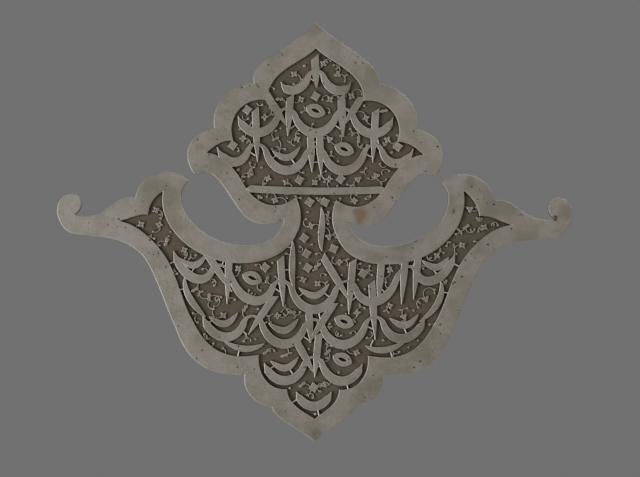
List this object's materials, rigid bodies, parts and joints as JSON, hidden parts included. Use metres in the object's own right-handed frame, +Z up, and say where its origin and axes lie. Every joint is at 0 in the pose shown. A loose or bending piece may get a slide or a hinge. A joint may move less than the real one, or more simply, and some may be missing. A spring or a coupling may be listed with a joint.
{
  "type": "inscribed wall plaque",
  "caption": "Flat ogee wall plaque in chiselled steel: a lobed medallion on a neck above a body with two curled wings, a raised band round a sunk ground of strokes, lozenges and flowers.",
  "frame": {"origin": "middle of the flat back, on the neck, halfway up the plaque", "axes": "+X along the wings, +Z up to the medallion's tip, +Y out of the flat back, so the carved face looks along -Y"},
  "size_m": [0.4, 0.005, 0.325],
  "materials": {
    "chiselled_steel": "worn satin steel with small pits on the raised band and strokes, darker and brown in the sunk ground"
  },
  "bodies": {
    "root": {"plaque": "chiselled_steel"}
  },
  "joints": []
}
